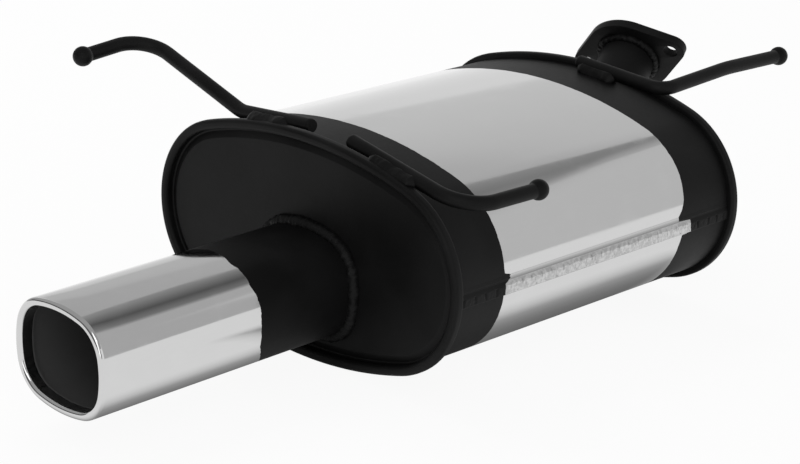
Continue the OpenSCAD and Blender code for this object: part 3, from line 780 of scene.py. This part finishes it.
INSET, PROUD = 0.9, 0.8  # how far the square and the round path lie off pipe and cap
turns = np.linspace(0, 2 * math.pi, 120, endpoint=False)
tip_path = on_tailpipe(sweep(TIP, [(INSET, INSET + TIP_ROOT - DISH)])[:, 0])
pipe_path = [(PIPE_AT[0] + (PIPE_R + PROUD) * math.cos(t), BODY_LEN - DISH + PROUD,
              PIPE_AT[1] + (PIPE_R + PROUD) * math.sin(t)) for t in turns]
bead("bead_tailpipe", "tailpipe_weld", tip_path, 5.4, 5.2, 0.02, 0.75, 3.0)
bead("bead_inlet", "inlet_weld", pipe_path, 3.8, 4.6, 0.05, 0.7, 8.0)

# %% [markdown]
# ## Flange
# A plate cut from 8.5 mm steel: a round middle, two ears and three holes, with its edges broken by
# tumbling. A filled two-dimensional curve with an extrusion and a small bevel makes exactly that.

# %% Flange
NORMAL = np.array((-0.278125, 0.783693, 0.555402))
HOLES = np.array((0.948116, 0.131264, 0.289563))
ACROSS = np.cross(NORMAL, HOLES)


def on_flange(a, b, c=0.0):
    """Along the hole line, across it and out along the mating face's normal."""
    return FLANGE + a * HOLES + b * ACROSS + c * NORMAL


PLATE_R, PLATE_T, EAR_R, BOLT_AT, BOLT_R, BROKEN = 40, 8.5, 13, 45, 6.25, 0.7
lean = math.degrees(math.acos((PLATE_R - EAR_R) / BOLT_AT))  # where the straight flanks touch
plate = (arc(0, 0, PLATE_R, lean, 180 - lean, 30)
         + arc(-BOLT_AT, 0, EAR_R, 180 - lean, 180 + lean, 24)
         + arc(0, 0, PLATE_R, 180 + lean, 360 - lean, 30)
         + arc(BOLT_AT, 0, EAR_R, -lean, lean, 24))
holes = [arc(0, 0, PIPE_R, 0, 360, 72)[:-1]]
holes += [arc(at, 0, BOLT_R, 0, 360, 36)[:-1] for at in (-BOLT_AT, BOLT_AT)]
outline = bpy.data.curves.new("flange_plate", "CURVE")
outline.dimensions, outline.fill_mode = "2D", "BOTH"
for points in [plate] + holes:
    spline = outline.splines.new("POLY")
    spline.points.add(len(points) - 1)
    flat = [c for a, b in points for c in (a / 1000, b / 1000, 0, 1)]
    spline.points.foreach_set("co", flat)
    spline.use_cyclic_u = True
outline.extrude = (PLATE_T / 2 - BROKEN) / 1000
outline.bevel_depth, outline.offset = BROKEN / 1000, -BROKEN / 1000
outline.bevel_resolution = 3
solid = bpy.data.objects.new("flange_plate", outline)
bpy.context.scene.collection.objects.link(solid)
graph = bpy.context.evaluated_depsgraph_get()
flange = bpy.data.meshes.new_from_object(solid.evaluated_get(graph))
bpy.data.objects.remove(solid)
seat = np.eye(4)
for i, column in enumerate((HOLES, ACROSS, NORMAL, -PLATE_T / 2000 * NORMAL)):
    seat[:3, i] = column
flange.transform(Matrix(seat))
merged = bmesh.new()
merged.from_mesh(flange)
bmesh.ops.remove_doubles(merged, verts=merged.verts, dist=1e-6)
keep("flange_plate", merged, black, "black_paint", "inlet_flange")

COLLAR_R, COLLAR_AT = 26.2, -9.5  # the bead's path round the pipe, behind the plate
collar = [on_flange(COLLAR_R * math.cos(t), COLLAR_R * math.sin(t), COLLAR_AT) for t in turns]
bead("bead_flange", "flange_weld", collar, 3.6, 5.2, 0.06, 1.0, 5.0)

# %% [markdown]
# ## Welds under the rods
# A rod is a round bar on a round rim, so the welder fills the gap with a flat web that runs from
# the bar's flank down on to the rim or the shell. Its section is drawn once, carried along the bar,
# drawn in at both ends and pushed about by smooth noise, since no two stretches are alike.

# %% Rod welds
ANCHOR = np.array((3.0, -1.0))  # inside the bar: each section shrinks towards it at both ends
LUMP, GRAIN = (9.0, 1.4), (3.2, 0.5)  # size and height of the slow and of the fine unevenness
SLICE = 0.8  # from one section to the next


def web_section(start, foot):
    """Weld metal across the bar: from an angle on the bar down to a foot beside it, then back."""
    t, foot = math.radians(start), np.array(foot, float)
    top = ROD_R * np.array((math.cos(t), math.sin(t)))
    face = [top + (foot - top) * k + np.array((0.5, 0.6)) * 4 * k * (1 - k)
            for k in np.linspace(0, 1, 9)]
    under = [foot + (-0.2, -2.5), foot + (-1.0, -5.0), (1.0, foot[1] - 5.0), (1.0, 0.0)]
    return np.array([0.72 * top] + face + under)


def web(side, s0, s1, start, foot, seed, rise=0.0):
    """Weld metal beside a rod, from s0 to s1 along it."""
    a, b = (np.array(p, float) for p in RODS[side][0][:2])
    way, ahead = (b - a) / np.linalg.norm(b - a), np.array((0.0, -1.0, 0.0))
    upward = np.cross(way, ahead)
    upward *= np.sign(upward[2])
    section = web_section(start, foot)
    bm, rows = bmesh.new(), []
    for k in np.linspace(0, 1, round((s1 - s0) / SLICE)):
        s = s0 + (s1 - s0) * k
        taper = min(1.0, math.sqrt(min(k, 1 - k) * (s1 - s0) / 6.0 + 0.05))
        swell = rise * math.exp(-((s - s1 + 9) / 5) ** 2)
        row = []
        for u, w in ANCHOR + (section - ANCHOR) * taper:
            at = a + way * s + ahead * u + upward * w
            uneven = sum(h * noise.noise(Vector(at / size + seed)) for size, h in (LUMP, GRAIN))
            out = np.array((u, w)) - ANCHOR
            out /= np.linalg.norm(out) + 1e-9
            push = (uneven + swell) * min(1.0, math.hypot(u, w) / ROD_R - 0.6)
            at = at + (ahead * out[0] + upward * out[1]) * push
            row.append(bm.verts.new(mm(*at)))
        rows.append(row)
    for r0, r1 in zip(rows, rows[1:]):
        for j in range(len(r0)):
            k = (j + 1) % len(r0)
            bm.faces.new((r0[j], r1[j], r1[k], r0[k]))
    bm.faces.new(rows[0])
    bm.faces.new(reversed(rows[-1]))
    return keep("web_" + side, bm, black, "black_paint", "weld_" + side, sharp=70)


web("front_left", 22, 70, 42, (11.6, -1.6), 1.7)
web("front_right", 26, 78, 42, (11.6, -1.6), 5.3)
web("rear", 3, 46, 14, (10.0, -6.2), 9.1, 2.2)

# %% [markdown]
# ## Lock seam
# The shell's long edges are folded into each other and pressed flat with toothed rolls. The rule
# bends a flat grid round the shell's side: a table gives the fold's height across, and the rolls'
# teeth press small dents into its crest, a tooth pitch apart.

# %% The rule for the seam
# distance down across the fold and its height, in millimetres: a low swell, a sharp valley, a
# slope, the flat crest that the rolls press, and the folded lower edge
SEAM_W, SEAM_LEN, SHEET = 16.5, 332.0, 0.9
FOLD = ((0, -0.15), (0.4, 0.03), (3.1, 0.32), (3.6, 0.25), (4.3, -0.29), (4.8, -0.2), (8.3, 1.34),
        (8.9, 1.48), (15.0, 1.72), (15.7, 1.5), (16.3, 0.1), (SEAM_W, -0.2))
seam_rule = Rule("lock_seam")
finish = seam_rule.input("Finish", "Material")
width, stand, tooth, dent, seed = (seam_rule.input(n) for n in (
    "Width", "Stand", "Tooth pitch", "Dent", "Seed"))
grid = seam_rule.add("GeometryNodeMeshGrid", {}, {"Size X": 1.0, "Size Y": SEAM_LEN / 1000,
                                                  "Vertices X": 60, "Vertices Y": 620})
px, py, _ = seam_rule.split(seam_rule.add("GeometryNodeInputPosition"))
fold = seam_rule.table((px + 0.5) * SEAM_W, FOLD, -0.3, 2.2)
spread = seam_rule.add("ShaderNodeCombineXYZ", {}, {"X": px * SEAM_W, "Y": py * 1000.0, "Z": seed})
slow, mottle = (seam_rule.add("ShaderNodeTexNoise", {},
                              {"Vector": spread, "Scale": scale, "Detail": detail}, "Fac")
                for scale, detail in ((0.05, 1.0), (0.34, 2.0)))
crest = px.step(-0.02, 0.06) * (1.0 - px.step(0.34, 0.42))
teeth = (py * math.pi / tooth + (slow - 0.5) * 2.4).sin().size().power(20.0)
height = stand * (fold + crest * (mottle - 0.5) * 0.6)
height = height - dent * crest * teeth * (1.6 - px * 3.0) * (slow + 0.5)
turn = (px * width / (SIDE_R / 1000)) * -1.0 - math.radians(0.5)
reach = height + SIDE_R / 1000
x = turn.cos() * reach + (SIDE_C - FLANGE[0]) / 1000
z = turn.sin() * reach - FLANGE[2] / 1000
y = py + (BODY_LEN / 2 - FLANGE[1]) / 1000
place = seam_rule.add("ShaderNodeCombineXYZ", {}, {"X": x, "Y": y, "Z": z})
band = seam_rule.add("GeometryNodeSetPosition", {}, {"Geometry": grid, "Position": place})
seam_rule.done(band, finish)
print("inputs", list(seam_rule.keys))

# %% Seam
band = seam_rule.grow([(0, 0, 0), (1, 0, 0)], shell_look, Width=SEAM_W / 1000, Stand=0.001,
                      Tooth_pitch=TOOTH / 1000, Dent=0.0008, Seed=6.0)
folded = bmesh.new()
folded.from_mesh(band)
bmesh.ops.recalc_face_normals(folded, faces=folded.faces)
if sum(f.normal.x for f in folded.faces) < 0:
    bmesh.ops.reverse_faces(folded, faces=folded.faces)
bmesh.ops.solidify(folded, geom=folded.faces[:], thickness=SHEET / 1000)
keep("lock_seam", folded, shell_look, "polished_steel", sharp=50)

# %% [markdown]
# ## Floor
# The photograph is a cut-out on white. A pale floor carries a soft shadow, and the camera sees it
# nearly white. In the metal it has to darken close to the silencer, where two solid things block
# each other's light, so a table gives the level that a reflection sees by the distance outside the
# body's and the tailpipe's footprints.

# %% Floor
lowest = cad_box[0][2]
FLOOR_WHITE = 0.93  # how far the camera sees plain white instead of the lit floor
FOOTPRINTS = ((-170, 170, 0, 350), (-46, 58, -246, 0))  # left, right, near and far edges
CONTACT = ((-100, 0.10), (-80, 0.12), (-55, 0.17), (-36, 0.22), (-20, 0.30), (-5, 0.42),
           (12, 0.75), (25, 0.90), (40, 1.0), (100, 1.0))
RAYS = ("Is Camera Ray", "Is Glossy Ray", "Is Transmission Ray")
bpy.ops.mesh.primitive_plane_add(size=30, location=(0, 0, lowest - 0.0005))
floor = bpy.context.object
floor.name = "floor"
ground = Finish("pale_floor", Roughness=1.0)
ground.put("Base Color", grey(0.8))
ground.put("Specular_IOR_Level", 0.0)
rays = ground.add("ShaderNodeLightPath").socket.node
seen, mirrored, through = (Wire(ground, rays.outputs[n]) for n in RAYS)
x, y, z = ground.axes()
shade = 1.0
for left, far_right, near, far in FOOTPRINTS:
    past_x = (x - (left + far_right) / 2).size() - (far_right - left) / 2
    past_y = (y - (near + far) / 2).size() - (far - near) / 2
    out_x, out_y = past_x.either(0.0), past_y.either(0.0)
    gap = (out_x * out_x + out_y * out_y).root() + past_x.either(past_y).both(0.0)
    shade = shade * ground.table(gap, CONTACT, 0.0, 1.0)
strength = 1.0 - mirrored * (1.0 - shade)
glow = ground.add("ShaderNodeEmission", {}, {"Color": grey(1.0), "Strength": strength})
lit = Wire(ground, ground.shader.outputs[0])
plain = seen.either(through) * FLOOR_WHITE + mirrored
surface = ground.add("ShaderNodeMixShader", {}, {0: plain, 1: lit, 2: glow})
ground.feed(ground.tree.nodes["Material Output"].inputs["Surface"], surface)
floor.data.materials.append(ground.material)
print("floor at", round(lowest, 4), "m")

# %% [markdown]
# ## World and lamps
# The world lights the matt black evenly at a plain level, and shows white to the camera. A big key
# lamp high on the left and a weak fill on the right model the black pressings. Neither shows in
# the metal, which gets its own room below.

# %% World and lamps
world = bpy.data.worlds.new("white_room")
bpy.context.scene.world = world
world.use_nodes = True
sky = Tree(world.node_tree)
dim = sky.tree.nodes["Background"]
sky.feed(dim.inputs["Color"], grey(1.0))
sky.feed(dim.inputs["Strength"], 0.6)
white = sky.add("ShaderNodeBackground", {}, {"Color": grey(1.0), "Strength": 1.0})
rays = sky.add("ShaderNodeLightPath").socket.node
seen, mirrored, through = (Wire(sky, rays.outputs[n]) for n in RAYS)
surface = sky.add("ShaderNodeMixShader", {}, {0: seen.either(mirrored).either(through),
                                              1: Wire(sky, dim.outputs[0]), 2: white})
sky.feed(sky.tree.nodes["World Output"].inputs["Surface"], surface)
middle = Vector(mm(0, 100, 0))
LAMPS = (("key", (-1.6, 0.2, 2.2), 1.6, 30), ("fill", (1.8, -1.6, 1.4), 1.4, 9))
for name, at, size, power in LAMPS:
    data = bpy.data.lights.new(name, "AREA")
    data.size, data.energy = size, power
    lamp = bpy.data.objects.new(name, data)
    lamp.location = middle + Vector(at)
    lamp.rotation_euler = (Vector(at) * -1).to_track_quat("-Z", "Y").to_euler()
    lamp.visible_glossy = False
    bpy.context.scene.collection.objects.link(lamp)
print({name: power for name, _, _, power in LAMPS}, "W")

# %% [markdown]
# ## The wall that the metal sees
# Bright metal has no colour of its own: each strip of the shell and the tailpipe shows one strip of
# the wall behind. The wall is one card that only reflections see. Its level falls towards the top,
# a bright band lies low on it, and a dark gap opens upwards between two panels. That gap is the
# streak along the upper corner of the shell and of the tailpipe. Tables by height, in metres from
# the part's middle, hold the panels' levels and the gap's two edges.

# %% Reflected wall
wall = Finish("reflected_wall")
x, y, z = wall.split(wall.place)
x, z = x - middle.x, z - middle.z
LEFT_LEVEL = ((0, 0.93), (0.3, 0.86), (0.55, 0.85), (0.872, 0.88), (0.888, 0.755), (1.0, 0.73),
              (1.43, 0.725), (1.61, 0.715), (1.77, 0.70), (1.9, 0.68), (2.0, 0.64), (2.1, 0.60),
              (2.5, 0.57), (5.0, 0.52))
FAR_LEFT_LOSS = ((0, 0.0), (0.28, 0.0), (0.54, 0.06), (0.9, 0.13), (1.2, 0.11), (1.5, 0.10),
                 (2.0, 0.07), (2.5, 0.02), (5.0, 0.0))
GAP_LEFT = ((0, 0.1), (1.7, 0.1), (1.95, -0.25), (2.1, -0.35), (2.34, -0.62), (2.6, -1.3),
            (2.85, -2.15), (3.2, -2.35), (5.0, -2.8))
GAP_RIGHT = ((0, 0.1), (1.7, 0.1), (1.95, 0.30), (2.02, 0.36), (2.10, 0.41), (2.18, 0.70),
             (2.4, 1.15), (3.2, 1.65), (5.0, 2.4))
left_panel = wall.table(z, LEFT_LEVEL, 0.0, 1.0)
left_panel = left_panel - wall.table(z, FAR_LEFT_LOSS, 0.0, 1.0) * (x * -1.0).step(2.1, 3.3)
right_panel = 0.70 - 0.13 * (x - 2.6).either(z - 2.0).step(0.0, 0.45)
level = left_panel + (right_panel - left_panel) * x.step(-0.3, 0.8)
from_left = x - wall.table(z, GAP_LEFT, -3.0, 3.0)
from_right = wall.table(z, GAP_RIGHT, -3.0, 3.0) - x
gap = 0.6 * from_right.step(-0.02, 0.5) + 0.4 * from_right.step(-0.05, -0.02)
gap = from_left.step(-0.012, 0.02) * gap
dark = 0.12 + (x - 0.1).size() * 0.105 + 0.17 * (1.0 - z.step(2.3, 3.1))
level = level + (dark - level) * gap
glow = wall.add("ShaderNodeEmission", {}, {"Color": grey(1.0), "Strength": level})
wall.feed(wall.tree.nodes["Material Output"].inputs["Surface"], glow)
print("levels from", LEFT_LEVEL[0][1], "at the floor to", LEFT_LEVEL[-1][1], "at the top")

# %% [markdown]
# ## The rest of the metal's room
# The top of the tailpipe and its rolled lip look up, left and back past the camera. A plain grey
# ceiling and side keep them calm, a dim wall in front draws the dark line round the lip, and one
# bright panel on that wall puts the small white spots on the lip's corners.

# %% Ceiling, side and front
BACK, FRONT, WIDE, WALL_WIDE = 2.4, -6.0, 12.0, 6.0  # places of the walls, from the part's middle
LOW, HIGH = lowest - middle.z + 0.02, 5.5
PLAIN, DIMMER, PANEL = 0.44, 0.34, 1.6  # the room's level, what the front loses, the panel's gain
room = Finish("reflected_room")
x, y, z = room.split(room.place)
x, y, z = x - middle.x, y - middle.y, z - middle.z
in_front = (y + 3.44) < 0.0
panel = in_front * x.step(1.625, 1.925) * (1.0 - x.step(5.625, 6.025))
level = PLAIN - DIMMER * in_front * (1.0 - z.step(1.417, 4.417)) + panel * PANEL
glow = room.add("ShaderNodeEmission", {}, {"Color": grey(1.0), "Strength": level})
room.feed(room.tree.nodes["Material Output"].inputs["Surface"], glow)
CARDS = {
    "reflected_wall": (wall, ((-WALL_WIDE, BACK, LOW), (WALL_WIDE, BACK, LOW),
                              (WALL_WIDE, BACK, HIGH), (-WALL_WIDE, BACK, HIGH))),
    "reflected_ceiling": (room, ((-WIDE, BACK, HIGH), (WIDE, BACK, HIGH),
                                 (WIDE, FRONT, HIGH), (-WIDE, FRONT, HIGH))),
    "reflected_left": (room, ((-WIDE, BACK, LOW), (-WIDE, BACK, HIGH),
                              (-WIDE, FRONT, HIGH), (-WIDE, FRONT, LOW))),
    "reflected_front": (room, ((-WIDE, FRONT, HIGH), (WIDE, FRONT, HIGH),
                               (WIDE, FRONT, LOW), (-WIDE, FRONT, LOW)))}
for name, (look, corners) in CARDS.items():
    mesh = bpy.data.meshes.new(name)
    mesh.from_pydata([list(middle + Vector(c)) for c in corners], [], [range(4)])
    mesh.materials.append(look.material)
    card = bpy.data.objects.new(name, mesh)
    bpy.context.scene.collection.objects.link(card)
    for kind in ("camera", "diffuse", "shadow", "transmission"):
        setattr(card, "visible_" + kind, False)
print(len(CARDS), "cards that only reflections see")

# %% [markdown]
# ## View and sizes
# The Standard view keeps white white. The box of all that is shown is measured once more and kept
# beside the frame's own box, so a piece that strays past the real size would be noticed.

# %% View, sizes and the end
scene = bpy.context.scene
scene.view_settings.view_transform = "Standard"
